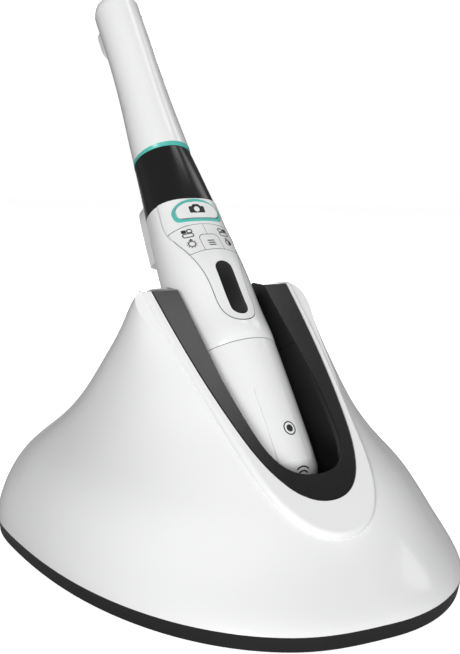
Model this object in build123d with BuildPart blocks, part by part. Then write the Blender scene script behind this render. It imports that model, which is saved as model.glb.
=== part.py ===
"""Cordless intraoral camera standing in its desk cradle. Millimetres, +Z up.

X = 0 is the symmetry plane, -Y the front. The table is z = 0 and the origin is the middle
of the whole object's footprint. The handpiece leans back along its own axis, and its parts
are drawn on planes of that axis: s counts up the axis from the teal ring.
"""

from build123d import *
import os
from math import cos, pi, radians, sin

os.makedirs("parts", exist_ok=True)

# ---------------------------------------------------------------- driving dimensions
# Handpiece attitude and length
LEAN = 37.0                      # degrees the handpiece leans back from upright
RING_Y, RING_Z = 44.1, 124.8     # centre of the teal ring
TIP = 70.5                       # s of the head's end
COLLAR_LOW = -23.7               # s of the joint between collar and grip
SEAM = -80.0                     # s of the joint between grip and battery sleeve
FOOT = -129.0                    # s of the handpiece's lower end
# Radii of the battery sleeve, as (s, radius)
SLEEVE_RADII = [(FOOT, 15.2), (-108, 15.7), (-90, 15.75), (SEAM, 15.7)]
# Sections of the grip and collar, as (s, half width, front, back, how square the front is)
GRIP = [(SEAM, 15.7, 15.7, 15.7, 2.0), (-70, 15.45, 15.05, 15.45, 2.0),
        (-58, 15.0, 14.05, 15.0, 2.1), (-45, 14.2, 12.4, 14.2, 2.3),
        (-35, 13.5, 10.2, 13.5, 2.5), (-26, 12.7, 9.6, 12.6, 2.55),
        (-12, 11.3, 9.9, 11.2, 2.2), (0, 10.35, 10.35, 10.35, 2.0)]
# Neck sections above the ring, as (s, radius, offset towards the back)
NECK = [(0, 10.3, 0), (13, 9.6, -0.6), (27, 8.9, -1.4), (42, 8.6, -2.2),
        (56, 8.6, -2.6), (TIP, 8.6, -2.6)]
NECK_WALL = 1.4
GRIP_WALL = 2.2
TAIL_WALL = 1.6
FOOT_ROUND = 8.0                 # rounding of the handpiece's lower end
RING_HEIGHT = 1.3

# Keys
PANEL_SKIN = 0.25                # how far the inlay panel stands proud of the grip
PANEL_DEPTH = 1.3                # how deep it is let in
KEY_GAP = 0.2
KEY_EDGE = 0.1                   # how far the side keys stay inside the panel's edge
KEY_BACK = 3.0                   # the side keys' back, in front of the handpiece's axis
CAPTURE_S, CAPTURE_W, CAPTURE_H = -28.5, 16.0, 6.4
TEAL_EDGE = 1.25                 # width of the teal surround
KEY_TOP, KEY_LOW = -34.7, -46.0
KEY_OUT = 12.6                   # half width of the keypad before the panel's edge trims it
MODE_W, MODE_TOP = 7.2, -39.0
WINDOW_S, WINDOW_W, WINDOW_L = -60.9, 6.2, 20.8

# Cradle
BAND_LOW, BAND_TOP = 0.9, 5.3
BAND_TAPER = 0.6                 # how far the band draws in at its foot
RIDGE_Y, RIDGE_Z = 2.0, 83.9     # top edge of the slanted face
FACE_SLOPE = 40.5                # degrees the face falls from level
# Bell sections, as (z, half width, front, widest, back)
BELL = [(BAND_TOP, 67.4, -88.6, 15.5, 66.8), (9, 67.1, -84.5, 15.3, 66.1),
        (13, 66.3, -78.6, 15.1, 64.5), (20, 64.0, -69.8, 14.5, 61.1),
        (28.5, 58.8, -61.6, 13.5, 56.1), (34, 53.4, -56.5, 12.5, 50.9),
        (39, 48.6, -52.0, 11.5, 45.3), (48, 42.5, -43.4, 9.5, 37.5),
        (59, 38.0, -33.7, 7.0, 29.0), (72, 34.2, -19.3, 2.5, 19.0),
        (82, 32.0, -13.5, -0.5, 11.0), (94, 29.0, -10.5, -2.5, 5.0)]
SHELF_LENGTH = 99.0              # how far down the slope the bell is cut flat
TONGUE_PROUD = 1.8               # how far the tongue stands out of the cut bell
TONGUE_DEPTH = 3.0               # from its top down into the bell's wall
TONGUE_EDGE = 1.5                # rounding of its edge
FRONT_POWER, BACK_POWER = 2.3, 2.7   # how square the outline is, front and back
SHELL_WALL = 2.4
FACE_WALL = 3.8
TROUGH_R = 16.4                  # inside radius of the trough
TROUGH_WALL = 1.4
TROUGH_FOOT = FOOT - 0.6
TROUGH_ROUND = 8.6
FIT = 0.2
RIM_THICK = 2.0
RIM_EDGE = 0.4                   # rounding of the rim's edges
PAST_RIDGE = 8.0                 # how far the face's outlines run on over the ridge
# Outlines on the slanted face, as (half width, distance down it), and where each ends
TONGUE, TONGUE_TIP = [(28.6, -4), (26.4, 28), (22.2, 60), (18.0, 79)], 93.6
RIM, RIM_TIP = [(26.3, -4), (24.0, 27), (19.8, 55), (16.2, 68)], 82.0
MOUTH, MOUTH_TIP = [(TROUGH_R, 34), (14.7, 55), (11.4, 67)], 72.8

# Base hardware
BOSSES = [(-44, 37.5), (44, 37.5), (-34, -46.5), (34, -46.5)]
BOSS_R, SCREW_R, HEAD_R, HEAD_H = 3.6, 1.25, 2.4, 1.3
FEET = [(-48, 15.5), (48, 15.5), (-18, -66.5), (18, -66.5)]
FOOT_R, FOOT_LET_IN = 5.0, 1.6
INLET_W, INLET_TOP = 9.0, 9.6

BALLAST_THICK = 3.0

# Head
LENS_S, LENS_W, LENS_L, LENS_PROUD = 56.5, 11.6, 16.6, 1.2
GLASS_W, GLASS_L, LENS_R = 8.4, 13.2, 2.4

# Back of the grip
SPINE_PROUD = 3.0
SWITCH_S, SWITCH_W, SWITCH_L, SWITCH_TRAVEL = -26.5, 7.0, 9.0, 3.0

# Inside the grip, distances to the front of the axis
FRAME_BACK, FRAME_W = 5.0, 17.0
BOARD_FRONT, BOARD_W, BOARD_LOW, BOARD_HIGH = 4.4, 11.0, -77.0, -26.5
POSTS = [(0, -50), (0, -74)]
# Key switches, as (x, s, how far the plunger reaches to the front)
SWITCHES = [(0, CAPTURE_S, 7.6), (-5.2, -40.0, 7.8), (5.2, -40.0, 7.8), (0, -43.0, 9.2)]

# Battery sleeve
STRIP_W, STRIP_TOP = 10.6, -97.0
CELL_R, CELL_L = 9.1, 36.0
CONTACT_R = 1.7

# Charging contacts
CONTACT_LET_IN = 0.2
BLOCK_W, BLOCK_D = 13.0, 6.0
PIN_X = 3.4
PIN_R = 1.0

# ---------------------------------------------------------------- frames
AXIS_DIR = (0, sin(radians(LEAN)), cos(radians(LEAN)))
FRONT_DIR = (0, -cos(radians(LEAN)), sin(radians(LEAN)))
RING = (0, RING_Y, RING_Z)
HAND = Plane(origin=RING, x_dir=(1, 0, 0), z_dir=AXIS_DIR)       # across the handpiece
FRONT = Plane(origin=RING, x_dir=(1, 0, 0), z_dir=FRONT_DIR)     # seen from its front
SIDE = Plane(origin=RING, x_dir=FRONT_DIR, z_dir=(-1, 0, 0))     # seen from its side
HAND_AXIS = Axis(RING, AXIS_DIR)
FACE_NORMAL = (0, -sin(radians(FACE_SLOPE)), cos(radians(FACE_SLOPE)))
FACE = Plane(origin=(0, RIDGE_Y, RIDGE_Z), x_dir=(1, 0, 0), z_dir=FACE_NORMAL)


def write(builder, name):
    """Label a finished piece and write it."""
    builder.part.label = name
    export_step(builder.part, f"parts/{name}.step")


def along(s, x=0.0, front=0.0):
    """A point of the handpiece: s up its axis, x across, front out of its face."""
    return HAND.from_local_coords((x, -front, s))


# ---------------------------------------------------------------- shared solids
def grip_outline(plane, half, front, back, power):
    """One section of the grip: round at the back, flatter at the front."""
    points = []
    steps = 20
    for i in range(steps):
        turn = 2 * pi * i / steps
        across, ahead = sin(turn), cos(turn)
        bend = power if ahead > 0 else 2.0
        reach = front if ahead > 0 else back
        x = half * abs(across) ** (2 / bend) * (1 if across > 0 else -1)
        y = reach * abs(ahead) ** (2 / bend) * (-1 if ahead > 0 else 1)
        points.append((x, y))
    with BuildSketch(plane) as section:
        with BuildLine():
            Spline(*points, periodic=True)
        make_face()
    return section.sketch


def barrel(skin, low, high):
    """The grip and collar's body between two stations, moved out by skin."""
    sections = []
    for s, half, front, back, power in GRIP:
        sections.append(grip_outline(HAND.offset(s), half + skin, front + skin, back + skin,
                                     power))
    with BuildPart() as body:
        loft(sections)
        with BuildSketch(HAND.offset(low)):
            Circle(30)
        extrude(amount=high - low, mode=Mode.INTERSECT)
    return body.part


def sleeve(skin, low, high):
    """The battery sleeve's turned body between two stations, moved out by skin."""
    with BuildPart() as turned:
        with BuildSketch(FRONT):
            with BuildLine():
                edge = Spline(*[(r + skin, s) for s, r in SLEEVE_RADII])
                Polyline(edge @ 1, (0, SLEEVE_RADII[-1][0]), (0, SLEEVE_RADII[0][0]), edge @ 0)
            make_face()
        revolve(axis=HAND_AXIS)
        with BuildSketch(HAND.offset(low)):
            Circle(30)
        extrude(amount=high - low, mode=Mode.INTERSECT)
    return turned.part


def neck(skin, low, high):
    """The neck's lofted body between two stations, moved out by skin."""
    with BuildPart() as body:
        for s, r, back in NECK:
            with BuildSketch(HAND.offset(min(s, high) if s else low)):
                with Locations((0, back)):
                    Circle(r + skin)
        loft()
        end = body.faces().sort_by(HAND_AXIS)[-1]
        fillet(end.edges(), radius=0.8 * (NECK[-1][1] + skin))
    return body.part


def bell_outline(plane, half, front, widest, back):
    """One section of the cradle: a rounded triangle, nose to the front."""
    points = []
    steps = 20
    for i in range(steps):
        turn = 2 * pi * i / steps
        across, ahead = sin(turn), cos(turn)
        power = FRONT_POWER if ahead > 0 else BACK_POWER
        reach = widest - front if ahead > 0 else back - widest
        x = half * abs(across) ** (2 / power) * (1 if across > 0 else -1)
        y = widest - reach * abs(ahead) ** (2 / power) * (1 if ahead > 0 else -1)
        points.append((x, y))
    with BuildSketch(plane) as section:
        with BuildLine():
            Spline(*points, periodic=True)
        make_face()
    return section.sketch


def bell(inset, face_inset):
    """The bell's solid, drawn in by inset and cut off flat at the slanted face."""
    sections = []
    for z, half, front, widest, back in BELL:
        sections.append(bell_outline(Plane.XY.offset(z), half - inset, front + inset,
                                     widest, back - inset))
    with BuildPart() as body:
        loft(sections)
        with BuildSketch(FACE.offset(-face_inset)):
            with Locations((0, -SHELF_LENGTH / 2 + 30)):
                Rectangle(200, SHELF_LENGTH + 60)
        extrude(amount=90, mode=Mode.SUBTRACT)
        with BuildSketch(Plane.XY.offset(RIDGE_Z - inset)):
            Rectangle(300, 300)
        extrude(amount=90, mode=Mode.SUBTRACT)
    return body.part


def face_outline(depth, points, tip, grow=0.0):
    """A round-ended tongue shape seen square to the slanted face, at a depth under it."""
    with BuildSketch(FACE.offset(-depth)) as outline:
        with BuildLine():
            side = [(half + grow, -down) for half, down in points]
            edge = Spline(*side, (0, -tip - grow), tangents=((-0.05, -1), (-1, 0)))
            Polyline(edge @ 1, (0, PAST_RIDGE), (points[0][0] + grow, PAST_RIDGE), edge @ 0)
        make_face()
        mirror(about=Plane.YZ)
    return outline.sketch


def rounded_plate(depth, points, tip, edge, hole=None):
    """A plate let into the slanted face, with an optional mouth and rounded top edges."""
    with BuildPart() as plate:
        extrude(face_outline(depth, points, tip), amount=depth)
        if hole:
            extrude(face_outline(depth, *hole), amount=depth, mode=Mode.SUBTRACT)
        top = plate.faces().filter_by(Plane(origin=(0, 0, 0), z_dir=FACE_NORMAL)).sort_by(Axis.Z)[-1]
        fillet(top.edges(), radius=edge)
        with BuildSketch(Plane.XY.offset(RIDGE_Z)):
            Rectangle(300, 300)
        extrude(amount=90, mode=Mode.SUBTRACT)
    return plate.part


def under_face(solid, depth):
    """What lies deeper than a depth under the slanted face."""
    with BuildPart() as kept:
        add(solid)
        with BuildSketch(FACE.offset(-depth)):
            Rectangle(300, 300)
        extrude(amount=90, mode=Mode.SUBTRACT)
    return kept.part


def trough(radius, foot, rounding):
    """The handpiece's bed: a round-bottomed channel along its axis, open to the front."""
    top = 40
    with BuildPart() as bed:
        with BuildSketch(FRONT):
            with BuildLine():
                FilletPolyline((0, foot), (radius, foot), (radius, top), radius=rounding)
                Polyline((radius, top), (0, top), (0, foot))
            make_face()
        revolve(axis=HAND_AXIS)
        with BuildSketch(FRONT):
            with BuildLine():
                FilletPolyline((0, foot), (radius, foot), (radius, top), radius=rounding)
                Polyline((radius, top), (0, top), (0, foot))
            make_face()
            mirror(about=Plane.YZ)
        extrude(amount=60)
    return bed.part


def pill(plane, width, length, s, back=0.0):
    """A stadium on a plane of the handpiece, its long side along the axis."""
    with BuildSketch(plane) as shape:
        with Locations((back, s)):
            SlotOverall(length, width, rotation=90)
    return shape.sketch


def panel_outline(grow):
    """The inlay panel seen from the front: wide at the keys, narrow at the window."""
    right = [(11.6 + grow, COLLAR_LOW + 1), (11.9 + grow, -28), (12.1 + grow, -36),
             (9.0 + grow, -46.4), (6.8 + grow, -56), (6.4 + grow, -64)]
    low = (0, -73.4 - grow)
    with BuildSketch(FRONT) as outline:
        with BuildLine():
            edge = Spline(*right, tangents=((0, -1), (0, -1)))
            Spline(right[-1], low, tangents=((0, -1), (-1, 0)), tangent_scalars=(1.6, 1.2))
            Polyline(low, (0, COLLAR_LOW + 1), edge @ 0)
        make_face()
        mirror(about=Plane.YZ)
    return outline


def capture_outline(grow):
    """The capture key's half-moon, flat side down."""
    half, low = CAPTURE_W / 2 + grow, -CAPTURE_H / 2 - grow
    shoulder = low + 2.6 + 0.6 * grow
    with BuildSketch(FRONT) as moon:
        with Locations((0, CAPTURE_S)):
            with BuildSketch(FRONT, mode=Mode.PRIVATE) as shape:
                with BuildLine():
                    Line((0, low), (half - 2.2, low))
                    Spline((half - 2.2, low), (half, shoulder), tangents=((1, 0), (0, 1)))
                    Spline((half, shoulder), (0, CAPTURE_H / 2 + grow),
                           tangents=((0, 1), (-1, 0)), tangent_scalars=(0.9, 1.3))
                    Line((0, CAPTURE_H / 2 + grow), (0, low))
                make_face()
                mirror(about=Plane.YZ)
            add(shape.sketch_local)
    return moon.sketch


def keypad_outline(shrink, edge=0.0):
    """The keypad's outline: an arched belt across the panel, trimmed by the panel's edge."""
    high, low = KEY_TOP - shrink, KEY_LOW + shrink
    panel = panel_outline(edge)
    with BuildSketch(FRONT) as pad:
        with BuildLine():
            top = ThreePointArc((-KEY_OUT, high - 1.6), (0, high + 0.6), (KEY_OUT, high - 1.6))
            foot = ThreePointArc((-KEY_OUT, low - 1.5), (0, low + 0.4), (KEY_OUT, low - 1.5))
            Line(top @ 1, foot @ 1)
            Line(foot @ 0, top @ 0)
        make_face()
        add(panel.sketch_local, mode=Mode.INTERSECT)
    return pad


def mode_outline(grow):
    """The middle key: round-topped, square below."""
    high = MODE_TOP + grow
    with BuildSketch(FRONT) as key:
        with Locations((0, (high + KEY_LOW - 2) / 2)):
            RectangleRounded(MODE_W + 2 * grow, high - KEY_LOW + 2, 1.9 + grow / 2)
    return key.sketch


def side_key_outline(side):
    """One side key: half of the keypad with the middle key's corner cut away."""
    pad = keypad_outline(KEY_GAP, -KEY_EDGE)
    with BuildSketch(FRONT) as half:
        add(pad.sketch_local)
        with Locations((0, (MODE_TOP + KEY_GAP + KEY_LOW - 2) / 2)):
            RectangleRounded(MODE_W + 2 * KEY_GAP, MODE_TOP + KEY_GAP - KEY_LOW + 2, 2.0,
                             mode=Mode.SUBTRACT)
        with Locations((-side * (10 - KEY_GAP / 2), KEY_TOP - 5)):
            Rectangle(20, 20, mode=Mode.SUBTRACT)
    return half.sketch


def spine_outline(grow):
    """The raised spine seen from the back: arched above, square below."""
    half, low, high = 10.4 + grow, -37.0 - grow, -22.0
    with BuildSketch(FRONT) as arch:
        with BuildLine():
            Polyline((half, high), (half, low), (-half, low), (-half, high))
            Spline((-half, high), (0, -13.6 + grow), (half, high),
                   tangents=((0, 1), (0, -1)))
        make_face()
    return arch.sketch


def spring(bottom_plane, radius, wire, pitch, height):
    """A coil spring standing on a plane."""
    with BuildPart() as coil:
        with BuildLine():
            turns = Helix(pitch=pitch, height=height, radius=radius,
                          center=bottom_plane.origin, direction=bottom_plane.z_dir)
        with BuildSketch(Plane(origin=turns @ 0, z_dir=turns % 0)):
            Circle(wire)
        sweep()
    return coil.part


# ---------------------------------------------------------------- cradle
with BuildPart() as bell_solid:
    add(bell(0, TONGUE_PROUD))
    add(rounded_plate(TONGUE_DEPTH, TONGUE, TONGUE_TIP, TONGUE_EDGE))
bell_outside = bell_solid.part
bell_inside = bell(SHELL_WALL, FACE_WALL)
bed_inside = trough(TROUGH_R, TROUGH_FOOT, TROUGH_ROUND)
bed_outside = trough(TROUGH_R + TROUGH_WALL, TROUGH_FOOT - TROUGH_WALL, TROUGH_ROUND + TROUGH_WALL)
bed_hole = trough(TROUGH_R + TROUGH_WALL + FIT, TROUGH_FOOT - TROUGH_WALL - FIT,
                  TROUGH_ROUND + TROUGH_WALL + FIT)

with BuildPart() as cradle_shell:
    add(bell_outside)
    add(bell_inside, mode=Mode.SUBTRACT)
    add(under_face(bed_hole, RIM_THICK - FIT), mode=Mode.SUBTRACT)
    extrude(face_outline(RIM_THICK, RIM, RIM_TIP, FIT / 2), amount=10, mode=Mode.SUBTRACT)
    with BuildSketch(Plane.XY.offset(BAND_TOP)):
        with Locations((0, BELL[0][4])):
            Rectangle(INLET_W + 0.2, 30)
    extrude(amount=INLET_TOP + 0.1 - BAND_TOP, mode=Mode.SUBTRACT)
    with BuildPart(mode=Mode.PRIVATE) as bosses:
        with BuildSketch(Plane.XY.offset(BAND_TOP)):
            with Locations(*BOSSES):
                Circle(BOSS_R)
        extrude(amount=60)
        add(bell_outside, mode=Mode.INTERSECT)
    add(bosses.part)
    with BuildSketch(Plane.XY.offset(BAND_TOP)):
        with Locations(*BOSSES):
            Circle(SCREW_R)
    extrude(amount=11, mode=Mode.SUBTRACT)
write(cradle_shell, "cradle_shell")

with BuildPart() as cradle_liner:
    add(under_face(bed_outside, RIM_THICK - FIT / 2))
    add(bed_inside, mode=Mode.SUBTRACT)
    add(rounded_plate(RIM_THICK, RIM, RIM_TIP, RIM_EDGE, (MOUTH, MOUTH_TIP)))
    add(bell_outside, mode=Mode.INTERSECT)
    with BuildSketch(HAND.offset(TROUGH_FOOT - 3)):
        Rectangle(BLOCK_W + FIT, BLOCK_D + FIT)
    extrude(amount=6, mode=Mode.SUBTRACT)
write(cradle_liner, "cradle_liner")

with BuildPart() as base_band:
    z, half, front, widest, back = BELL[0]
    loft([bell_outline(Plane.XY.offset(BAND_LOW), half - BAND_TAPER, front + BAND_TAPER,
                       widest, back - BAND_TAPER),
          bell_outline(Plane.XY.offset(BAND_TOP), half, front, widest, back)])
    extrude(bell_outline(Plane.XY.offset(BAND_LOW + 1.8), half - 3.4, front + 3.4, widest,
                         back - 3.4), amount=10, mode=Mode.SUBTRACT)
    with BuildSketch(Plane.XY.offset(BAND_LOW + 1.8)):
        with Locations(*BOSSES):
            Circle(BOSS_R)
    extrude(amount=BAND_TOP - BAND_LOW - 1.8)
    with BuildSketch(Plane.XY.offset(BAND_LOW)):
        with Locations(*BOSSES):
            Circle(SCREW_R + 0.15)
    extrude(amount=10, mode=Mode.SUBTRACT)
    with BuildSketch(Plane.XY.offset(BAND_LOW)):
        with Locations(*BOSSES):
            Circle(HEAD_R + 0.2)
    extrude(amount=HEAD_H, mode=Mode.SUBTRACT)
    with BuildSketch(Plane.XY):
        with Locations(*FEET):
            Circle(FOOT_R + 0.1)
    extrude(amount=FOOT_LET_IN, mode=Mode.SUBTRACT)
    with BuildSketch(Plane.XY.offset(BAND_LOW + 1.8)):
        with Locations((0, back)):
            Rectangle(INLET_W + 0.2, 16)
    extrude(amount=20, mode=Mode.SUBTRACT)
write(base_band, "base_band")

with BuildPart() as rubber_feet:
    with BuildSketch(Plane.XY):
        with Locations(*FEET):
            Circle(FOOT_R)
    extrude(amount=FOOT_LET_IN)
write(rubber_feet, "rubber_feet")

with BuildPart() as base_screws:
    with BuildSketch(Plane.XY.offset(BAND_LOW + 0.2)):
        with Locations(*BOSSES):
            Circle(HEAD_R)
    extrude(amount=HEAD_H - 0.2)
    with BuildSketch(Plane.XY.offset(BAND_LOW + HEAD_H)):
        with Locations(*BOSSES):
            Circle(SCREW_R - 0.05)
    extrude(amount=12)
    with BuildSketch(Plane.XY.offset(BAND_LOW + 0.2)):
        with Locations(*BOSSES):
            Rectangle(2.8, 0.7)
            Rectangle(0.7, 2.8)
    extrude(amount=0.6, mode=Mode.SUBTRACT)
write(base_screws, "base_screws")

with BuildPart() as ballast_plate:
    with BuildSketch(Plane.XY.offset(BAND_LOW + 1.8)):
        with Locations((0, 3.5)):
            RectangleRounded(74, 82, 8)
    extrude(amount=BALLAST_THICK)
write(ballast_plate, "ballast_plate")

BLOCK_LOW = TROUGH_FOOT - TROUGH_WALL - 4.5
with BuildPart() as pin_block:
    with BuildSketch(HAND.offset(BLOCK_LOW)):
        Rectangle(BLOCK_W, BLOCK_D)
    extrude(amount=TROUGH_FOOT - BLOCK_LOW)
    with BuildSketch(HAND.offset(BLOCK_LOW)):
        with Locations((-PIN_X, 0), (PIN_X, 0)):
            Circle(PIN_R + 0.6)
    extrude(amount=4.9, mode=Mode.SUBTRACT)
    with BuildSketch(HAND.offset(BLOCK_LOW)):
        with Locations((-PIN_X, 0), (PIN_X, 0)):
            Circle(PIN_R + 0.15)
    extrude(amount=10, mode=Mode.SUBTRACT)
write(pin_block, "pin_block")

with BuildPart() as charge_board:
    with BuildSketch(HAND.offset(BLOCK_LOW - 1.6)):
        RectangleRounded(24, 15, 1.5)
    extrude(amount=1.6)
    for x, y, wide, deep, tall in ((-8.5, -3, 5, 5, 1.2), (8.5, 3, 4, 4, 1.6), (0, 5, 6, 3, 0.9)):
        with BuildSketch(HAND.offset(BLOCK_LOW - 1.6 - tall)):
            with Locations((x, y)):
                Rectangle(wide, deep)
        extrude(amount=tall)
write(charge_board, "charge_board")

PIN_TOP = FOOT + CONTACT_LET_IN
PIN_COLLAR = BLOCK_LOW + 3.6
for side, name in ((-1, "charge_pin_left"), (1, "charge_pin_right")):
    with BuildPart() as pin:
        with BuildSketch(HAND.offset(PIN_COLLAR)):
            with Locations((side * PIN_X, 0)):
                Circle(PIN_R)
        extrude(amount=PIN_TOP - PIN_COLLAR)
        fillet(pin.faces().sort_by(HAND_AXIS)[-1].edges(), radius=0.5)
        with BuildSketch(HAND.offset(PIN_COLLAR)):
            with Locations((side * PIN_X, 0)):
                Circle(PIN_R + 0.4)
        extrude(amount=0.7)
    write(pin, name)

for side, name in ((-1, "pin_spring_left"), (1, "pin_spring_right")):
    with BuildPart() as pin_spring:
        base = Plane(origin=along(BLOCK_LOW + 0.2, side * PIN_X), z_dir=AXIS_DIR)
        add(spring(base, 1.05, 0.16, 0.85, PIN_COLLAR - BLOCK_LOW - 0.4))
    write(pin_spring, name)

with BuildPart() as inlet_jack:
    z, half, front, widest, back = BELL[0]
    with BuildSketch(Plane.XY.offset(BAND_LOW + 1.9)):
        with Locations((0, back - 8.2)):
            Rectangle(INLET_W, 13)
    extrude(amount=INLET_TOP - BAND_LOW - 1.9)
    with BuildSketch(Plane.XZ.offset(-back + 1.7)):
        with Locations((0, BAND_LOW + 5.2)):
            Circle(2.1)
    extrude(amount=9, mode=Mode.SUBTRACT)
    with BuildSketch(Plane.XZ.offset(-back + 2.6)):
        with Locations((0, BAND_LOW + 5.2)):
            Circle(0.65)
    extrude(amount=9)
write(inlet_jack, "inlet_jack")

# ---------------------------------------------------------------- handpiece, head and neck
HEAD_BACK = NECK[-1][1] + NECK[-1][2]     # how far the head's back stands from the axis


def lens_slot(width, length, inner, outer):
    """A stadium-shaped solid in the head's back, between two distances from the axis."""
    with BuildPart() as slot:
        with BuildSketch(FRONT.offset(-outer)):
            with Locations((0, LENS_S)):
                SlotOverall(length, width, rotation=90)
        extrude(amount=outer - inner)
    return slot.part


with BuildPart() as neck_shell:
    add(neck(0, 0, TIP))
    add(neck(-NECK_WALL, -0.5, TIP - NECK_WALL), mode=Mode.SUBTRACT)
    add(lens_slot(LENS_W + 0.1, LENS_L + 0.1, HEAD_BACK - 4, HEAD_BACK + 4), mode=Mode.SUBTRACT)
write(neck_shell, "neck_shell")

with BuildPart() as lens_bezel:
    add(lens_slot(LENS_W, LENS_L, HEAD_BACK - 2.8, HEAD_BACK + LENS_PROUD))
    fillet(lens_bezel.faces().sort_by(Axis(RING, FRONT_DIR))[0].edges(), radius=0.8)
    add(lens_slot(GLASS_W + 0.1, GLASS_L + 0.1, HEAD_BACK + LENS_PROUD - 1.0,
                  HEAD_BACK + LENS_PROUD + 1), mode=Mode.SUBTRACT)
    add(lens_slot(GLASS_W - 1.0, GLASS_L - 1.0, HEAD_BACK - 4, HEAD_BACK + 4),
        mode=Mode.SUBTRACT)
write(lens_bezel, "lens_bezel")

with BuildPart() as lens_window:
    add(lens_slot(GLASS_W, GLASS_L, HEAD_BACK + LENS_PROUD - 1.0, HEAD_BACK + LENS_PROUD - 0.1))
write(lens_window, "lens_window")

BOARD_BACK = HEAD_BACK - 3.6
with BuildPart() as led_board:
    add(lens_slot(GLASS_W + 1.6, GLASS_L + 1.6, BOARD_BACK, BOARD_BACK + 0.8))
    with BuildSketch(FRONT.offset(-BOARD_BACK - 2)):
        with Locations((0, LENS_S)):
            Circle(LENS_R + 0.1)
    extrude(amount=6, mode=Mode.SUBTRACT)
write(led_board, "led_board")

with BuildPart() as leds:
    with BuildSketch(FRONT.offset(-BOARD_BACK - 2.0)):
        with Locations((0, LENS_S)):
            with GridLocations(3.0, 7.8, 2, 2):
                RectangleRounded(1.7, 1.7, 0.3)
    extrude(amount=1.2)
write(leds, "leds")

with BuildPart() as lens_barrel:
    with BuildSketch(FRONT.offset(-BOARD_BACK - 3.0)):
        with Locations((0, LENS_S)):
            Circle(LENS_R)
    extrude(amount=6.5)
    with BuildSketch(FRONT.offset(-BOARD_BACK - 3.0)):
        with Locations((0, LENS_S)):
            Circle(LENS_R - 0.7)
    extrude(amount=1.2, taper=20, mode=Mode.SUBTRACT)
write(lens_barrel, "lens_barrel")

with BuildPart() as sensor_board:
    with BuildSketch(FRONT.offset(-BOARD_BACK + 3.5)):
        with Locations((0, LENS_S)):
            RectangleRounded(8.4, 11, 0.8)
    extrude(amount=1.0)
write(sensor_board, "sensor_board")

with BuildPart() as teal_ring:
    add(barrel(0.05, -RING_HEIGHT, 0))
    with BuildSketch(HAND.offset(-5)):
        Circle(10.3 - NECK_WALL)
    extrude(amount=10, mode=Mode.SUBTRACT)
write(teal_ring, "teal_ring")

with BuildPart() as collar:
    add(barrel(0, COLLAR_LOW, -RING_HEIGHT))
    add(barrel(-GRIP_WALL, COLLAR_LOW, -RING_HEIGHT), mode=Mode.SUBTRACT)
write(collar, "collar")

# ---------------------------------------------------------------- handpiece, grip
with BuildPart() as grip_shell:
    add(barrel(0, SEAM, COLLAR_LOW))
    add(barrel(-GRIP_WALL, SEAM, COLLAR_LOW), mode=Mode.SUBTRACT)
    with BuildPart(mode=Mode.PRIVATE) as recess:
        add(barrel(2, SEAM, 0))
        add(barrel(-PANEL_DEPTH, SEAM, 0), mode=Mode.SUBTRACT)
        extrude(panel_outline(0.08).sketch, amount=40, mode=Mode.INTERSECT)
    add(recess.part, mode=Mode.SUBTRACT)
    extrude(panel_outline(-1.6).sketch, amount=40, mode=Mode.SUBTRACT)
    extrude(keypad_outline(0, 0.08).sketch, amount=40, mode=Mode.SUBTRACT)
    with BuildSketch(FRONT):
        with Locations((0, SWITCH_S)):
            Rectangle(SWITCH_W - 1, SWITCH_L + SWITCH_TRAVEL - 1)
    extrude(amount=-40, mode=Mode.SUBTRACT)
write(grip_shell, "grip_shell")


def inlay(outline, skin, depth):
    """A skin-following piece of the front, within an outline."""
    with BuildPart() as piece:
        add(barrel(skin, SEAM, COLLAR_LOW))
        add(barrel(skin - depth, SEAM, COLLAR_LOW), mode=Mode.SUBTRACT)
        extrude(outline, amount=40, mode=Mode.INTERSECT)
    return piece.part


with BuildPart() as front_panel:
    add(inlay(panel_outline(0).sketch, PANEL_SKIN, PANEL_DEPTH + PANEL_SKIN - 0.02))
    extrude(capture_outline(TEAL_EDGE), amount=40, mode=Mode.SUBTRACT)
    extrude(keypad_outline(0, 0.1).sketch, amount=40, mode=Mode.SUBTRACT)
    extrude(pill(FRONT, WINDOW_W, WINDOW_L, WINDOW_S), amount=40, mode=Mode.SUBTRACT)
write(front_panel, "front_panel")

with BuildPart() as button_ring:
    add(inlay(capture_outline(TEAL_EDGE), PANEL_SKIN + 0.3, 1.8))
    extrude(capture_outline(KEY_GAP), amount=40, mode=Mode.SUBTRACT)
write(button_ring, "button_ring")

with BuildPart() as capture_button:
    add(inlay(capture_outline(0), PANEL_SKIN + 0.75, 2.2))
write(capture_button, "capture_button")

with BuildPart() as key_mode:
    add(inlay(mode_outline(0), PANEL_SKIN + 0.1, 2.4))
    extrude(keypad_outline(KEY_GAP, -KEY_EDGE).sketch, amount=40, mode=Mode.INTERSECT)
write(key_mode, "key_mode")

for side, name in ((-1, "key_left"), (1, "key_right")):
    with BuildPart() as key:
        add(inlay(side_key_outline(side), PANEL_SKIN + 0.05, 2.4))
        split(bisect_by=FRONT.offset(KEY_BACK))
    write(key, name)

with BuildPart() as display_window:
    add(inlay(pill(FRONT, WINDOW_W - 0.1, WINDOW_L - 0.1, WINDOW_S), PANEL_SKIN + 0.1, 1.5))
write(display_window, "display_window")

with BuildPart() as rear_spine:
    with BuildPart(mode=Mode.PRIVATE) as cover:
        add(barrel(SPINE_PROUD, SEAM, 0))
        add(barrel(0, SEAM, 0), mode=Mode.SUBTRACT)
    add(cover.part)
    extrude(spine_outline(0), amount=-40, mode=Mode.INTERSECT)
    with BuildSketch(FRONT):
        with Locations((0, SWITCH_S)):
            Rectangle(SWITCH_W, SWITCH_L + SWITCH_TRAVEL)
    extrude(amount=-40, mode=Mode.SUBTRACT)
write(rear_spine, "rear_spine")

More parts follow.
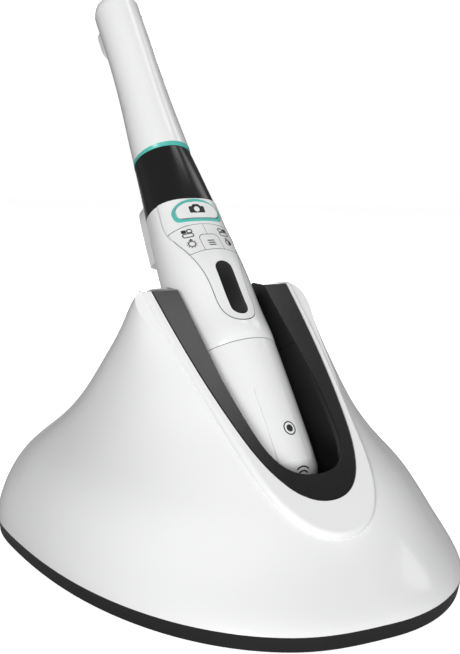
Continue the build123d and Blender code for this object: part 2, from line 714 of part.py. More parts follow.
with BuildPart() as power_slider:
    with BuildPart(mode=Mode.PRIVATE) as cap:
        add(barrel(SPINE_PROUD + 0.5, SEAM, 0))
        add(barrel(0.2, SEAM, 0), mode=Mode.SUBTRACT)
        with BuildSketch(FRONT):
            with Locations((0, SWITCH_S - SWITCH_TRAVEL / 2)):
                RectangleRounded(SWITCH_W - 2 * FIT, SWITCH_L - 2 * FIT, 1.2)
        extrude(amount=-40, mode=Mode.INTERSECT)
    add(cap.part)
    for i in range(5):
        with BuildSketch(SIDE):
            with Locations((-12.9 - SPINE_PROUD - 0.35, SWITCH_S - SWITCH_TRAVEL / 2 - 3 + 1.5 * i)):
                Circle(0.45)
        extrude(amount=10, both=True, mode=Mode.SUBTRACT)
write(power_slider, "power_slider")

# ---------------------------------------------------------------- handpiece, battery sleeve
SLEEVE_TOP = SEAM - 0.35
with BuildPart() as tail_shell:
    add(sleeve(0, FOOT, SLEEVE_TOP))
    fillet(tail_shell.faces().sort_by(HAND_AXIS)[0].edges(), radius=FOOT_ROUND)
    with BuildPart(mode=Mode.PRIVATE) as strip:
        add(sleeve(0.35, FOOT + FOOT_ROUND, STRIP_TOP))
        with BuildSketch(FRONT):
            with Locations((0, (FOOT + STRIP_TOP) / 2)):
                Rectangle(STRIP_W, STRIP_TOP - FOOT)
        extrude(amount=40, mode=Mode.INTERSECT)
    add(strip.part)
    with BuildSketch(FRONT):
        with BuildLine():
            wall = SLEEVE_RADII[0][1] - TAIL_WALL
            low = FOOT + TAIL_WALL
            FilletPolyline((0, low), (wall, low), (wall, SEAM + 5), radius=FOOT_ROUND - 1)
            Polyline((wall, SEAM + 5), (0, SEAM + 5), (0, low))
        make_face()
    revolve(axis=HAND_AXIS, mode=Mode.SUBTRACT)
    with BuildSketch(HAND.offset(FOOT - 1)):
        with Locations((-PIN_X, 0), (PIN_X, 0)):
            Circle(CONTACT_R)
    extrude(amount=4, mode=Mode.SUBTRACT)
write(tail_shell, "tail_shell")

with BuildPart() as tail_contacts:
    with BuildSketch(HAND.offset(PIN_TOP)):
        with Locations((-PIN_X, 0), (PIN_X, 0)):
            Circle(CONTACT_R)
    extrude(amount=TAIL_WALL - CONTACT_LET_IN)
    with BuildSketch(HAND.offset(FOOT + TAIL_WALL)):
        with Locations((-PIN_X, 0), (PIN_X, 0)):
            Circle(CONTACT_R + 0.6)
    extrude(amount=0.6)
write(tail_contacts, "tail_contacts")

with BuildPart() as sleeve_seal:
    with BuildSketch(HAND.offset(SLEEVE_TOP)):
        Circle(15.45)
        Circle(13.6, mode=Mode.SUBTRACT)
    extrude(amount=SEAM - SLEEVE_TOP)
write(sleeve_seal, "sleeve_seal")

CELL_LOW = FOOT + TAIL_WALL + 3.0
with BuildPart() as battery:
    with BuildSketch(HAND.offset(CELL_LOW)):
        Circle(CELL_R)
    extrude(amount=CELL_L)
    fillet(battery.edges().filter_by(GeomType.CIRCLE), radius=0.8)
    with BuildSketch(HAND.offset(CELL_LOW + CELL_L)):
        Circle(2.8)
    extrude(amount=1.0)
write(battery, "battery")

with BuildPart() as battery_spring:
    base = Plane(origin=along(FOOT + TAIL_WALL + 0.9), z_dir=AXIS_DIR)
    add(spring(base, 4.2, 0.3, 0.8, 1.7))
write(battery_spring, "battery_spring")

PLATE_LOW = CELL_LOW + CELL_L + 1.1
with BuildPart() as contact_plate:
    with BuildSketch(HAND.offset(PLATE_LOW)):
        Circle(13.0)
        with Locations((-7, 0), (7, 0)):
            Circle(1.0, mode=Mode.SUBTRACT)
    extrude(amount=1.6)
write(contact_plate, "contact_plate")

# ---------------------------------------------------------------- handpiece, inside the grip
FRAME_LOW, FRAME_HIGH = PLATE_LOW + 1.7, -27.0
with BuildPart() as chassis:
    with BuildSketch(HAND.offset(FRAME_LOW)):
        Circle(12.5)
        Circle(10.9, mode=Mode.SUBTRACT)
    extrude(amount=2.5)
    with BuildSketch(FRONT.offset(-FRAME_BACK)):
        with Locations((0, (FRAME_LOW + FRAME_HIGH) / 2)):
            RectangleRounded(FRAME_W, FRAME_HIGH - FRAME_LOW, 2)
        with Locations((0, -40), (0, -58)):
            SlotOverall(12, 6, rotation=90, mode=Mode.SUBTRACT)
    extrude(amount=1.6)
    with BuildSketch(FRONT.offset(-FRAME_BACK + 1.6)):
        with Locations(*POSTS):
            Circle(1.7)
    extrude(amount=BOARD_FRONT + FRAME_BACK - 1.6)
    with BuildSketch(FRONT.offset(-FRAME_BACK - 1)):
        with Locations(*POSTS):
            Circle(0.8)
    extrude(amount=20, mode=Mode.SUBTRACT)
write(chassis, "chassis")

with BuildPart() as main_board:
    with BuildSketch(FRONT.offset(BOARD_FRONT)):
        with Locations((0, (BOARD_LOW + BOARD_HIGH) / 2)):
            RectangleRounded(BOARD_W, BOARD_HIGH - BOARD_LOW, 1.2)
        with Locations(*POSTS):
            Circle(1.0, mode=Mode.SUBTRACT)
    extrude(amount=1.0)
    for x, s, wide, high, tall in ((-2, -56, 6, 6, 1.0), (4, -68, 4, 7, 1.2), (-4, -66, 3, 4, 0.8)):
        with BuildSketch(FRONT.offset(BOARD_FRONT - tall)):
            with Locations((x, s)):
                Rectangle(wide, high)
        extrude(amount=tall)
write(main_board, "main_board")

with BuildPart() as board_screws:
    with BuildSketch(FRONT.offset(BOARD_FRONT + 1.0)):
        with Locations(*POSTS):
            Circle(1.5)
    extrude(amount=0.8)
    with BuildSketch(FRONT.offset(BOARD_FRONT - 5)):
        with Locations(*POSTS):
            Circle(0.75)
    extrude(amount=6)
write(board_screws, "board_screws")

with BuildPart() as tact_switches:
    for x, s, reach in SWITCHES:
        with BuildSketch(FRONT.offset(BOARD_FRONT + 1.0)):
            with Locations((x, s)):
                Rectangle(3.0, 3.0)
        extrude(amount=(reach - BOARD_FRONT - 1.0) * 0.5)
        with BuildSketch(FRONT.offset(BOARD_FRONT + 1.0)):
            with Locations((x, s)):
                Circle(0.9)
        extrude(amount=reach - BOARD_FRONT - 1.0)
write(tact_switches, "tact_switches")

with BuildPart() as status_board:
    with BuildSketch(FRONT.offset(BOARD_FRONT + 1.0)):
        with Locations((0, WINDOW_S)):
            RectangleRounded(6.0, 17, 0.8)
    extrude(amount=2.2)
write(status_board, "status_board")

with BuildPart() as radio_board:
    with BuildSketch(FRONT.offset(-FRAME_BACK - 1.4)):
        with Locations((0, -62)):
            RectangleRounded(12, 16, 1)
    extrude(amount=1.3)
    with BuildSketch(FRONT.offset(-FRAME_BACK - 2.6)):
        with Locations((-2, -64)):
            Rectangle(5, 5)
        with Locations((0, -56.5)):
            Rectangle(9, 2)
    extrude(amount=1.2)
write(radio_board, "radio_board")

with BuildPart() as flex_cable:
    with BuildSketch(SIDE):
        with BuildLine():
            FilletPolyline((3.4, LENS_S - 2), (3.4, 16), (BOARD_FRONT - 0.15, -10),
                           (BOARD_FRONT - 0.15, BOARD_HIGH - 3), radius=6)
            offset(amount=0.12, side=Side.BOTH)
        make_face()
    extrude(amount=2.2, both=True)
write(flex_cable, "flex_cable")
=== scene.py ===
"""Cordless intraoral camera in its desk cradle: looks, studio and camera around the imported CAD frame.

Metres, +Z up, -Y the front, X = 0 the symmetry plane. The handpiece leans back along its own
axis: s counts up that axis from the teal ring, and its front faces the user.
"""

from math import cos, pi, radians, sin

import bmesh
import bpy
from mathutils import Matrix, Vector
from mathutils.bvhtree import BVHTree


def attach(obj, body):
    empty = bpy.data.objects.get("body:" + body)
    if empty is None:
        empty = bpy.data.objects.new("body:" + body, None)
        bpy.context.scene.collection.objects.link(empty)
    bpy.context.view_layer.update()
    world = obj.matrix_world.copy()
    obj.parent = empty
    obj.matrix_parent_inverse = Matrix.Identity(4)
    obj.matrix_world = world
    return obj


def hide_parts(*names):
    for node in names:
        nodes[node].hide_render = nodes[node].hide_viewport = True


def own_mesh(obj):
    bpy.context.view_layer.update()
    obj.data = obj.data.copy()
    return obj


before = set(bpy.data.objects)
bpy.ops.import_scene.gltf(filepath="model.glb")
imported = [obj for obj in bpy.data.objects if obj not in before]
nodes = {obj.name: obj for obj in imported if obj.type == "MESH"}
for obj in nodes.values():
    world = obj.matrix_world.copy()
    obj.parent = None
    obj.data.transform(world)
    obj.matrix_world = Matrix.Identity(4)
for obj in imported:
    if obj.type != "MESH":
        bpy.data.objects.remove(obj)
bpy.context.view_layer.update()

MM = 0.001
CAST_FROM = 40        # rays onto the handpiece start this far off its axis, in millimetres
MISSED = 15           # and a ray that meets nothing gives a place this far off it

# ---------------------------------------------------------------- the handpiece's own axes
LEAN = radians(37.0)
RING = Vector((0, 44.1, 124.8)) * MM         # centre of the teal ring
UP_AXIS = Vector((0, sin(LEAN), cos(LEAN)))
FRONT = Vector((0, -cos(LEAN), sin(LEAN)))
ACROSS = Vector((1, 0, 0))


def at(x, s, front):
    """A point of the handpiece, given in millimetres."""
    return RING + (ACROSS * x + UP_AXIS * s + FRONT * front) * MM


# ---------------------------------------------------------------- camera
CAMERA_AT = Vector((-173.3, -273.6, 128.8)) * MM
AZIMUTH, PITCH, ROLL = radians(-32.24), radians(10.04), radians(1.36)
LENS, SHIFT_X, SHIFT_Y = 55.05, 0.0119, -0.0024
NEAREST, FARTHEST = 0.01, 20


def add_camera():
    """The camera, from its place and three angles."""
    ahead = Vector((-sin(AZIMUTH) * cos(PITCH), cos(AZIMUTH) * cos(PITCH), -sin(PITCH)))
    level = Vector((cos(AZIMUTH), sin(AZIMUTH), 0))
    upright = level.cross(ahead)
    right = level * cos(ROLL) + upright * sin(ROLL)
    up = upright * cos(ROLL) - level * sin(ROLL)
    data = bpy.data.cameras.new("camera")
    data.lens = LENS
    data.shift_x, data.shift_y = SHIFT_X, SHIFT_Y
    data.clip_start, data.clip_end = NEAREST, FARTHEST
    camera = bpy.data.objects.new("camera", data)
    camera.matrix_world = Matrix((right, up, -ahead)).transposed().to_4x4()
    camera.matrix_world.translation = CAMERA_AT
    bpy.context.collection.objects.link(camera)
    bpy.context.scene.camera = camera


# ---------------------------------------------------------------- materials
# Sizes of the noise: broad mottling, patches of gloss. Larger is finer.
MOTTLE_SCALE, GLOSS_SCALE = 18, 60
# The values of the noise at which the mottling is darkest and lightest.
RAMP_FROM, RAMP_TO = 0.3, 0.7
COAT_ROUGHNESS = 0.05
LEAST_ROUGHNESS, ROUGH_SPREAD = 0.02, 0.04
GRAIN_HEIGHT = 0.00008


def material(name, color, roughness, grain=0.0, grain_scale=900, mottle=0.03, coat=0.0,
             metallic=0.0, ior=1.5):
    """A moulded or cast surface: faint mottling, uneven gloss and a fine grain, all from noise."""
    made = bpy.data.materials.new(name)
    made.use_nodes = True
    tree = made.node_tree
    shader = tree.nodes["Principled BSDF"]
    shader.inputs["Metallic"].default_value = metallic
    shader.inputs["IOR"].default_value = ior
    shader.inputs["Coat Weight"].default_value = coat
    shader.inputs["Coat Roughness"].default_value = COAT_ROUGHNESS
    where = tree.nodes.new("ShaderNodeTexCoord")

    def noise(scale, detail):
        node = tree.nodes.new("ShaderNodeTexNoise")
        node.inputs["Scale"].default_value = scale
        node.inputs["Detail"].default_value = detail
        tree.links.new(where.outputs["Object"], node.inputs["Vector"])
        return node.outputs["Fac"]

    ramp = tree.nodes.new("ShaderNodeValToRGB")
    ramp.color_ramp.elements[0].position = RAMP_FROM
    ramp.color_ramp.elements[1].position = RAMP_TO
    ramp.color_ramp.elements[0].color = [c * (1 - mottle) for c in color] + [1]
    ramp.color_ramp.elements[1].color = [min(1, c * (1 + mottle * 0.5)) for c in color] + [1]
    tree.links.new(noise(MOTTLE_SCALE, 3), ramp.inputs["Fac"])
    tree.links.new(ramp.outputs["Color"], shader.inputs["Base Color"])
    spread = tree.nodes.new("ShaderNodeMapRange")
    spread.inputs["To Min"].default_value = max(LEAST_ROUGHNESS, roughness - ROUGH_SPREAD)
    spread.inputs["To Max"].default_value = roughness + ROUGH_SPREAD
    tree.links.new(noise(GLOSS_SCALE, 4), spread.inputs["Value"])
    tree.links.new(spread.outputs["Result"], shader.inputs["Roughness"])
    if grain:
        bump = tree.nodes.new("ShaderNodeBump")
        bump.inputs["Strength"].default_value = grain
        bump.inputs["Distance"].default_value = GRAIN_HEIGHT
        tree.links.new(noise(grain_scale, 2), bump.inputs["Height"])
        tree.links.new(bump.outputs["Normal"], shader.inputs["Normal"])
    return made


WHITE = material("white_gloss", (0.865, 0.867, 0.87), 0.22, grain=0.04, mottle=0.012, coat=0.3)
PANEL = material("white_panel", (0.82, 0.822, 0.826), 0.30, grain=0.06, mottle=0.015)
BLACK = material("gloss_black", (0.008, 0.008, 0.0085), 0.22, grain=0.02, mottle=0.1)
WINDOW = material("window_black", (0.006, 0.006, 0.0065), 0.36, grain=0.0, mottle=0.1, ior=1.35)
LINER = material("liner_black", (0.006, 0.006, 0.0063), 0.20, grain=0.08, mottle=0.15)
BAND = material("band_black", (0.014, 0.014, 0.0145), 0.42, grain=0.4, grain_scale=1600, mottle=0.2)
TEAL = material("teal", (0.085, 0.50, 0.43), 0.3, grain=0.05)
RUBBER = material("rubber", (0.02, 0.02, 0.021), 0.75, grain=0.8, grain_scale=2200, mottle=0.25)
SEAL = material("pale_seal", (0.36, 0.365, 0.37), 0.6, grain=0.4, grain_scale=2200, mottle=0.15)
STEEL = material("steel", (0.55, 0.56, 0.58), 0.32, grain=0.3, metallic=1.0, mottle=0.08)
GOLD = material("contact_gold", (0.85, 0.62, 0.28), 0.22, grain=0.1, metallic=1.0, mottle=0.06)
BOARD = material("circuit_board", (0.02, 0.16, 0.07), 0.45, grain=0.5, mottle=0.3)
INNER = material("inner_plastic", (0.05, 0.05, 0.055), 0.5, grain=0.4, mottle=0.2)
CELL = material("cell_wrap", (0.04, 0.10, 0.28), 0.3, grain=0.1)
RIBBON = material("ribbon", (0.45, 0.20, 0.04), 0.4, grain=0.2)
PHOSPHOR = material("phosphor", (0.85, 0.75, 0.35), 0.5, grain=0.3)
INK = material("ink", (0.02, 0.02, 0.022), 0.5, grain=0.1, mottle=0.1)
# painted shade: the dark look of the strips in the gaps round the keys and panel, and of the spine's
# groove line
SEAM_SHADE = material("seam_shadow", (0.05, 0.05, 0.052), 0.6, grain=0.2, mottle=0.2)
GLASS = material("lens_glass", (0.02, 0.025, 0.03), 0.06, coat=1.0, mottle=0.1)

LOOKS = {
    WHITE: ["cradle_shell", "neck_shell", "grip_shell", "tail_shell", "rear_spine", "lens_bezel"],
    PANEL: ["front_panel", "capture_button", "key_left", "key_right", "key_mode"],
    BLACK: ["collar"],
    WINDOW: ["display_window"],
    LINER: ["cradle_liner"],
    BAND: ["base_band", "power_slider", "inlet_jack", "pin_block"],
    TEAL: ["teal_ring", "button_ring"],
    RUBBER: ["rubber_feet"],
    SEAL: ["sleeve_seal"],
    STEEL: ["base_screws", "board_screws", "ballast_plate", "pin_spring_left", "pin_spring_right",
            "battery_spring"],
    GOLD: ["charge_pin_left", "charge_pin_right", "tail_contacts"],
    BOARD: ["charge_board", "led_board", "sensor_board", "main_board", "radio_board",
            "status_board", "contact_plate"],
    INNER: ["chassis", "tact_switches", "lens_barrel"],
    CELL: ["battery"],
    RIBBON: ["flex_cable"],
    PHOSPHOR: ["leds"],
    GLASS: ["lens_window"],
}


def dress_nodes():
    """Give each carried-over CAD node its material."""
    for look, names in LOOKS.items():
        for name in names:
            data = nodes[name].data
            data.materials.clear()
            data.materials.append(look)


# ---------------------------------------------------------------- drawing on curved surfaces
class Skin:
    """The front or back surface of a CAD node, for laying things on it."""

    def __init__(self, name, behind=False):
        data = nodes[name].data
        corners = [v.co.copy() for v in data.vertices]
        faces = [list(p.vertices) for p in data.polygons]
        self.tree = BVHTree.FromPolygons(corners, faces)
        self.side = -1 if behind else 1

    def point(self, x, s, lift):
        """The place over (x, s), lifted off the surface by lift millimetres."""
        start = at(x, s, CAST_FROM * self.side)
        place, normal, _, _ = self.tree.ray_cast(start, -FRONT * self.side)
        if place is None:
            return at(x, s, MISSED * self.side)
        if normal.dot(FRONT) * self.side < 0:
            normal = -normal
        return place + normal * lift * MM


def disc(x, s, radius, steps=20):
    """A filled circle."""
    turns = [2 * pi * i / steps for i in range(steps)]
    return [[(x + radius * cos(t), s + radius * sin(t)) for t in turns]]


def line(points, width, closed=False):
    """A stroke of constant width through points, as quads."""
    count = len(points)
    edges = []
    for i, (x, s) in enumerate(points):
        before = points[i - 1] if i or closed else points[i]
        after = points[(i + 1) % count] if i < count - 1 or closed else points[i]
        along = Vector((after[0] - before[0], after[1] - before[1])).normalized()
        aside = Vector((-along.y, along.x)) * width / 2
        edges.append(((x + aside.x, s + aside.y), (x - aside.x, s - aside.y)))
    last = count if closed else count - 1
    return [[edges[i][0], edges[(i + 1) % count][0], edges[(i + 1) % count][1], edges[i][1]]
            for i in range(last)]


def arc(x, s, radius, start, end, width, steps=16):
    """A stroke along part of a circle, from start to end degrees."""
    turns = [radians(start + (end - start) * i / steps) for i in range(steps + 1)]
    full = end - start >= 360
    points = [(x + radius * cos(t), s + radius * sin(t)) for t in turns]
    return line(points[:-1] if full else points, width, closed=full)


def rounded(x, s, width, height, radius, steps=5):
    """The outline of a rounded rectangle."""
    points = []
    for cx, cs, start in ((1, 1, 0), (-1, 1, 90), (-1, -1, 180), (1, -1, 270)):
        for i in range(steps + 1):
            turn = radians(start + 90 * i / steps)
            points.append((x + cx * (width / 2 - radius) + radius * cos(turn),
                           s + cs * (height / 2 - radius) + radius * sin(turn)))
    return points


INK_THICK = 0.03
INK_EDGE = 0.5               # ink is cut finer than this, so that it follows the curve under it
# thickness of the dark strips of painted shade in the gaps
SHADE_STRIP_THICK = 0.05


def printed(name, body, skin, shapes, look, lift=0.015):
    """Thin ink shapes laid on a surface. Shapes are outlines of (x, s) in millimetres."""
    flat = bmesh.new()
    for shape in shapes:
        flat.faces.new([flat.verts.new((x, s, 0)) for x, s in shape])
    bmesh.ops.triangulate(flat, faces=flat.faces[:])
    for _ in range(3):
        long_edges = [e for e in flat.edges if e.calc_length() > INK_EDGE]
        if long_edges:
            bmesh.ops.subdivide_edges(flat, edges=long_edges, cuts=1)
            bmesh.ops.triangulate(flat, faces=flat.faces[:])
    for v in flat.verts:
        v.co = skin.point(v.co.x, v.co.y, lift)
    bmesh.ops.recalc_face_normals(flat, faces=flat.faces[:])
    return finish_piece(name, flat, body, look, thick=INK_THICK)


def finish_piece(name, shape, body, look, thick=0.0):
    """Turn a bmesh into an object with its material, riding on its body."""
    mesh = bpy.data.meshes.new(name)
    shape.to_mesh(mesh)
    shape.free()
    mesh.polygons.foreach_set("use_smooth", [True] * len(mesh.polygons))
    mesh.materials.append(look)
    piece = bpy.data.objects.new(name, mesh)
    bpy.context.collection.objects.link(piece)
    if thick:
        solid = piece.modifiers.new("thickness", "SOLIDIFY")
        solid.thickness = thick * MM
        solid.offset = 0
    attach(piece, body)
    return piece


def from_axis(place):
    """The direction from the handpiece's axis out to a place."""
    offset = place - RING
    return (offset - UP_AXIS * offset.dot(UP_AXIS)).normalized()


def station(place):
    """How far up the handpiece's axis a place is, in millimetres."""
    return (place - RING).dot(UP_AXIS) / MM


SHARP = radians(50)          # faces that meet at less than this are one surface
FACES_OUT = 0.75             # how squarely the outer face of a rim looks away from the axis
WELD = 1e-7
SOFT_WELD = 1e-6
SAME_DIGITS = 7


def rim_edges(name):
    """The edges of a CAD node where its outer skin turns into a wall.

    Each is (corner, corner, the wall's normal, the way out from the axis).
    """
    shape = bmesh.new()
    shape.from_mesh(nodes[name].data)
    bmesh.ops.remove_doubles(shape, verts=shape.verts[:], dist=WELD)
    shape.normal_update()
    found = []
    for edge in shape.edges:
        if len(edge.link_faces) != 2:
            continue
        skin, wall = edge.link_faces
        if skin.normal.angle(wall.normal, 0) < SHARP:
            continue
        out = from_axis((edge.verts[0].co + edge.verts[1].co) / 2)
        if wall.normal.dot(out) > skin.normal.dot(out):
            skin, wall = wall, skin
        if skin.normal.dot(out) >= FACES_OUT:
            found.append((edge.verts[0].co.copy(), edge.verts[1].co.copy(), wall.normal.copy(), out))
    shape.free()
    return found


def same_place(place):
    """A key that two meetings of the same corner share."""
    return tuple(round(c, SAME_DIGITS) for c in place)


def gap_shade_strip(name, node, gap, sink):
    """A dark strip of painted shade in the gap round a piece: gap wide and sink under its skin, in
    millimetres.
    """
    edges = rim_edges(node)
    strip = bmesh.new()
    corners, walls = {}, {}
    for a, b, wall, out in edges:
        for place in (a, b):
            key = same_place(place)
            corners[key] = (place, out)
            walls[key] = walls.get(key, Vector()) + wall
    made = {}
    for key, (place, out) in corners.items():
        low = place - out * sink * MM
        across = walls[key].normalized() * gap * MM
        made[key] = (strip.verts.new(low), strip.verts.new(low + across))
    for a, b, _, _ in edges:
        first, second = made[same_place(a)], made[same_place(b)]
        strip.faces.new((first[0], second[0], second[1], first[1]))
    bmesh.ops.recalc_face_normals(strip, faces=strip.faces[:])
    return finish_piece(name, strip, "handpiece", SEAM_SHADE, thick=SHADE_STRIP_THICK)


def softened(name, node, body, look, voxel, smooth_steps):
    """A CAD piece with its edges rounded off: the same solid, remeshed fine and smoothed.

    voxel is in millimetres, and more smooth_steps round the edges more.
    """
    mesh = nodes[node].data.copy()
    mesh.name = name
    mesh.materials.clear()
    mesh.materials.append(look)
    piece = bpy.data.objects.new(name, mesh)
    bpy.context.collection.objects.link(piece)
    weld = piece.modifiers.new("weld", "WELD")
    weld.merge_threshold = SOFT_WELD
    fine = piece.modifiers.new("fine", "REMESH")
    fine.mode = "VOXEL"
    fine.voxel_size = voxel * MM
    fine.use_smooth_shade = True
    soft = piece.modifiers.new("soft", "SMOOTH")
    soft.factor = 0.5
    soft.iterations = smooth_steps
    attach(piece, body)
    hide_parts(node)
    return piece


# ---------------------------------------------------------------- studio
# How bright the floor and the world are to the camera, and how much light they give the object.
FLOOR_GLOW, FLOOR_BOUNCE = 0.80, 0.45
WORLD_SEEN, WORLD_LIGHT = 1.0, 0.23
# The floor, in metres: half its width, where it starts and bends up, the bend and the backdrop's top.
FLOOR_HALF, FLOOR_NEAR, FLOOR_FAR = 4, -3.0, 2.0
BEND, BEND_STEPS, BACKDROP_TOP = 0.8, 16, 4.0
OBJECT_MIDDLE, RIDGE_RIGHT = (0, 0, 0.08), (0, 0.036, 0.114)
# Name, place, target, size and power of each softbox, in metres and watts.
SOFTBOXES = [
    ("key", (-0.92, -1.0, 0.42), OBJECT_MIDDLE, (0.45, 0.45), 12.5),
    ("front", (-0.2, -1.3, 0.06), OBJECT_MIDDLE, (0.4, 0.3), 7.5),
    ("overhead", (0.60, -0.12, 1.25), OBJECT_MIDDLE, (0.3, 0.3), 0.7),
    ("side", (1.06, 0.03, 0.88), RIDGE_RIGHT, (0.42, 0.42), 1.1),
    ("back", (0.6, 1.3, 0.6), OBJECT_MIDDLE, (0.6, 0.6), 10),
]


def add_light(name, place, target, size, power):
    """A rectangular softbox at place, facing target."""
    data = bpy.data.lights.new(name, "AREA")
    data.shape = "RECTANGLE"
    data.size, data.size_y = size
    data.energy = power
    lamp = bpy.data.objects.new(name, data)
    lamp.location = place
    lamp.rotation_euler = (Vector(target) - Vector(place)).to_track_quat("-Z", "Y").to_euler()
    bpy.context.collection.objects.link(lamp)


def add_floor():
    """A pale floor that curves up into a backdrop, turned to face the camera."""
    mesh = bpy.data.meshes.new("floor")
    shape = bmesh.new()
    profile = [(FLOOR_NEAR, 0.0), (FLOOR_FAR, 0.0)]
    for i in range(1, BEND_STEPS + 1):
        turn = pi / 2 * i / BEND_STEPS
        profile.append((FLOOR_FAR + BEND * sin(turn), BEND - BEND * cos(turn)))
    profile.append((FLOOR_FAR + BEND, BACKDROP_TOP))
    rows = [[shape.verts.new((x, y, z)) for x in (-FLOOR_HALF, FLOOR_HALF)] for y, z in profile]
    for low, high in zip(rows, rows[1:]):
        shape.faces.new((low[0], low[1], high[1], high[0]))
    shape.to_mesh(mesh)
    shape.free()
    mesh.polygons.foreach_set("use_smooth", [True] * len(mesh.polygons))
    mesh.materials.append(floor_paint())
    floor = bpy.data.objects.new("floor", mesh)
    bpy.context.collection.objects.link(floor)
    floor.matrix_world = Matrix.Rotation(AZIMUTH, 4, "Z")


def floor_paint():
    """Pale paint that looks near white but bounces little light back onto the object."""
    paint = material("floor_paint", (0.9, 0.9, 0.905), 0.7, mottle=0.01)
    tree = paint.node_tree
    pale = tree.nodes["Principled BSDF"]
    pale.inputs["Emission Color"].default_value = (1, 1, 1, 1)
    pale.inputs["Emission Strength"].default_value = FLOOR_GLOW
    dim = tree.nodes.new("ShaderNodeBsdfDiffuse")
    dim.inputs["Color"].default_value = (FLOOR_BOUNCE, FLOOR_BOUNCE, FLOOR_BOUNCE, 1)
    ray = tree.nodes.new("ShaderNodeLightPath")
    mix = tree.nodes.new("ShaderNodeMixShader")
    tree.links.new(ray.outputs["Is Camera Ray"], mix.inputs[0])
    tree.links.new(dim.outputs[0], mix.inputs[1])
    tree.links.new(pale.outputs[0], mix.inputs[2])
    tree.links.new(mix.outputs[0], tree.nodes["Material Output"].inputs["Surface"])
    return paint


def add_world():
    """White surroundings that light the object less than they show."""
    world = bpy.data.worlds.new("studio")
    world.use_nodes = True
    tree = world.node_tree
    strength = tree.nodes.new("ShaderNodeMapRange")
    strength.inputs["To Min"].default_value = WORLD_LIGHT
    strength.inputs["To Max"].default_value = WORLD_SEEN
    ray = tree.nodes.new("ShaderNodeLightPath")
    tree.links.new(ray.outputs["Is Camera Ray"], strength.inputs["Value"])
    tree.links.new(strength.outputs["Result"], tree.nodes["Background"].inputs["Strength"])
    tree.nodes["Background"].inputs["Color"].default_value = (1, 1, 1, 1)
    bpy.context.scene.world = world


def add_studio():
    """White surroundings, softboxes and the floor, shown without a film curve."""
    add_world()
    bpy.context.scene.view_settings.view_transform = "Standard"
    for softbox in SOFTBOXES:
        add_light(*softbox)
    add_floor()


# ---------------------------------------------------------------- printed marks, and painted shade in the seams and the spine's groove
KEY_INK = 0.36                       # stroke width of the keys' pictograms
# the last is the width of the spine groove's dark line of painted shade
MODE_INK, SLEEVE_INK, GROOVE_SHADE = 0.42, 0.4, 0.3
SUN_RADIUS, RAY_IN, RAY_OUT, RAYS = 1.1, 1.4, 1.7, 10


def camera_mark(x, s):
    """A plain camera pictogram's dark body, and its pale lens."""
    body = rounded(x, s - 0.3, 5.9, 2.6, 0.4)
    hump = [(x - 1.8, s + 0.95), (x + 1.8, s + 0.95), (x + 1.0, s + 1.8), (x - 1.0, s + 1.8)]
    return [body, hump], disc(x, s - 0.15, 1.05)


def tile_mark(x, s, filled):
    """Two small tiles over a tray: a split view pictogram."""
    shapes = line(rounded(x, s - 0.85, 3.5, 1.5, 0.65), KEY_INK, closed=True)
    for side in (-1, 1):
        tile = rounded(x + side * 0.95, s + 0.85, 1.6, 1.35, 0.4)
        shapes += [tile] if side == filled else line(tile, KEY_INK, closed=True)
    return shapes


def sun_mark(x, s, half=False):
    """A ring with short rays, or a ring half filled."""
    shapes = arc(x, s, SUN_RADIUS, 0, 360, KEY_INK)
    if half:
        return shapes + [[(x + SUN_RADIUS * cos(radians(t)), s + SUN_RADIUS * sin(radians(t)))
                          for t in range(-90, 91, 15)]]
    for i in range(RAYS):
        turn = 2 * pi * i / RAYS
        ray = [(x + reach * cos(turn), s + reach * sin(turn)) for reach in (RAY_IN, RAY_OUT)]
        shapes += line(ray, KEY_INK)
    return shapes


def triangle_mark(x, s, size=0.7):
    """A small pointer."""
    return [[(x - size, s - size * 0.6), (x + size, s - size * 0.6), (x, s + size * 0.7)]]


def mark_shutter():
    """The camera pictogram on the shutter key."""
    shutter = Skin("capture_button")
    body, lens = camera_mark(-0.3, -28.3)
    printed("shutter_mark", "capture_button", shutter, body, INK)
    printed("shutter_mark_lens", "capture_button", shutter, lens, PANEL, lift=0.05)


def mark_keypad():
    """Tiles, a pointer and a light on each side key, and three bars on the mode key."""
    for side, name in ((-1, "key_left"), (1, "key_right")):
        shapes = tile_mark(side * 6.9, -37.8, side)
        shapes += triangle_mark(side * 6.8, -40.6)
        shapes += sun_mark(side * 7.0, -42.4, half=side > 0)
        printed(name + "_marks", name, Skin(name), shapes, INK)
    bars = []
    for i in range(3):
        s = -41.7 - 0.95 * i
        bars += line([(-1.3, s), (1.3, s)], MODE_INK)
    printed("mode_mark", "key_mode", Skin("key_mode"), bars, INK)


def mark_sleeve():
    """A ring with a dot, and three waves, on the battery sleeve."""
    shapes = arc(2.0, -111.4, 2.1, 0, 360, SLEEVE_INK) + disc(2.0, -111.4, 1.2)
    for i in range(3):
        shapes += arc(2.8, -128.0, 2.0 + 1.2 * i, 55, 125, 0.45)
    printed("sleeve_marks", "handpiece", Skin("tail_shell"), shapes, INK)


def mark_spine():
    """The arched groove on the back spine, drawn as a dark line of painted shade."""
    back = Skin("rear_spine", behind=True)
    arch = [(8.6 * cos(radians(t)), -22.5 + 6.6 * sin(radians(t))) for t in range(0, 181, 10)]
    groove = [(8.6, -35.5)] + arch + [(-8.6, -35.5)]
    printed("spine_groove_shade", "handpiece", back, line(groove, GROOVE_SHADE), SEAM_SHADE)


def add_marks():
    """Pictograms, and the spine's groove as a dark line of painted shade; all of them generic."""
    mark_shutter()
    mark_keypad()
    mark_sleeve()
    mark_spine()


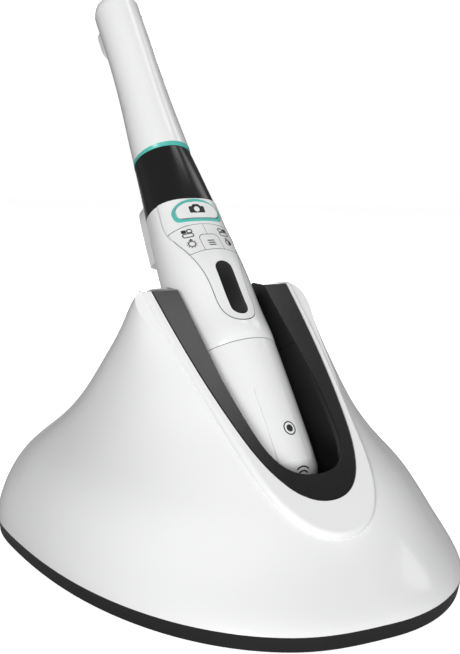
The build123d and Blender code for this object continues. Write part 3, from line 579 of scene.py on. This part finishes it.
def add_seams():
    """Painted shade: dark strips in the gaps round the keys, the shutter key and the inlay panel."""
    for name in ("key_left", "key_right", "key_mode"):
        gap_shade_strip(name + "_seam", name, 0.26, 0.12)
    gap_shade_strip("shutter_seam", "capture_button", 0.22, 0.62)
    gap_shade_strip("panel_seam", "front_panel", 0.28, 0.2)


# ---------------------------------------------------------------- pieces that stand for CAD nodes
COLLAR_STATIONS, COLLAR_TURNS = 24, 128
COLLAR_WALL = 1.2
COLLAR_INSET = 0.01          # where the collar is measured near its ends, as a share of its length
COLLAR_CREASE = radians(40)


def through_three(points, s):
    """The parabola through three (s, value) points, at s."""
    (a, fa), (b, fb), (c, fc) = points
    return (fa * (s - b) * (s - c) / ((a - b) * (a - c))
            + fb * (s - a) * (s - c) / ((b - a) * (b - c))
            + fc * (s - a) * (s - b) / ((c - a) * (c - b)))


def collar_run(cad, turn, low, high, rows):
    """The collar's distance from the axis at each row, in one direction round it."""
    out = ACROSS * sin(turn) + FRONT * cos(turn)
    inset = (high - low) * COLLAR_INSET
    seen = []
    for s in (low + inset, (low + high) / 2, high - inset):
        place = cad.ray_cast(at(0, s, 0) + out * CAST_FROM * MM, -out)[0]
        seen.append((s, (place - RING).dot(out) / MM))
    return [through_three(seen, s) for s in rows]


def add_collar():
    """The gloss collar drawn as one even surface: each run along it is a plain parabola."""
    cad = Skin("collar").tree
    heights = [station(v.co) for v in nodes["collar"].data.vertices]
    low, high = min(heights), max(heights)
    rows = [low + (high - low) * i / (COLLAR_STATIONS - 1) for i in range(COLLAR_STATIONS)]
    turns = [2 * pi * j / COLLAR_TURNS for j in range(COLLAR_TURNS)]
    runs = [collar_run(cad, turn, low, high, rows) for turn in turns]
    shape = bmesh.new()
    walls = []
    for inward in (0, COLLAR_WALL):
        walls.append([[shape.verts.new(at(sin(turn) * (run[i] - inward), s,
                                          cos(turn) * (run[i] - inward)))
                       for turn, run in zip(turns, runs)] for i, s in enumerate(rows)])
    outer, inner = walls
    for j in range(COLLAR_TURNS):
        k = (j + 1) % COLLAR_TURNS
        for wall in walls:
            for below, above in zip(wall, wall[1:]):
                shape.faces.new((below[j], below[k], above[k], above[j]))
        for end in (0, -1):
            shape.faces.new((outer[end][j], outer[end][k], inner[end][k], inner[end][j]))
    bmesh.ops.recalc_face_normals(shape, faces=shape.faces[:])
    piece = finish_piece("gloss_collar", shape, "handpiece", BLACK)
    crease = piece.modifiers.new("crease", "EDGE_SPLIT")
    crease.split_angle = COLLAR_CREASE
    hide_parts("collar")


def add_coils():
    """The coil springs under the charging pins, each on a mesh of its own."""
    for side in ("left", "right"):
        mesh = nodes["pin_spring_" + side].data.copy()
        coil = bpy.data.objects.new("coil_" + side, mesh)
        bpy.context.collection.objects.link(coil)
        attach(coil, "cradle")
        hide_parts("pin_spring_" + side)
        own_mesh(coil)


def add_soft_pieces():
    """Pieces whose rounded edges show."""
    softened("shutter_key", "capture_button", "capture_button", PANEL, 0.16, 14)
    softened("shutter_surround", "button_ring", "handpiece", TEAL, 0.14, 4)
    softened("window_glass", "display_window", "handpiece", WINDOW, 0.16, 6)


dress_nodes()
add_marks()
add_seams()
add_collar()
add_soft_pieces()
add_coils()
add_camera()
add_studio()
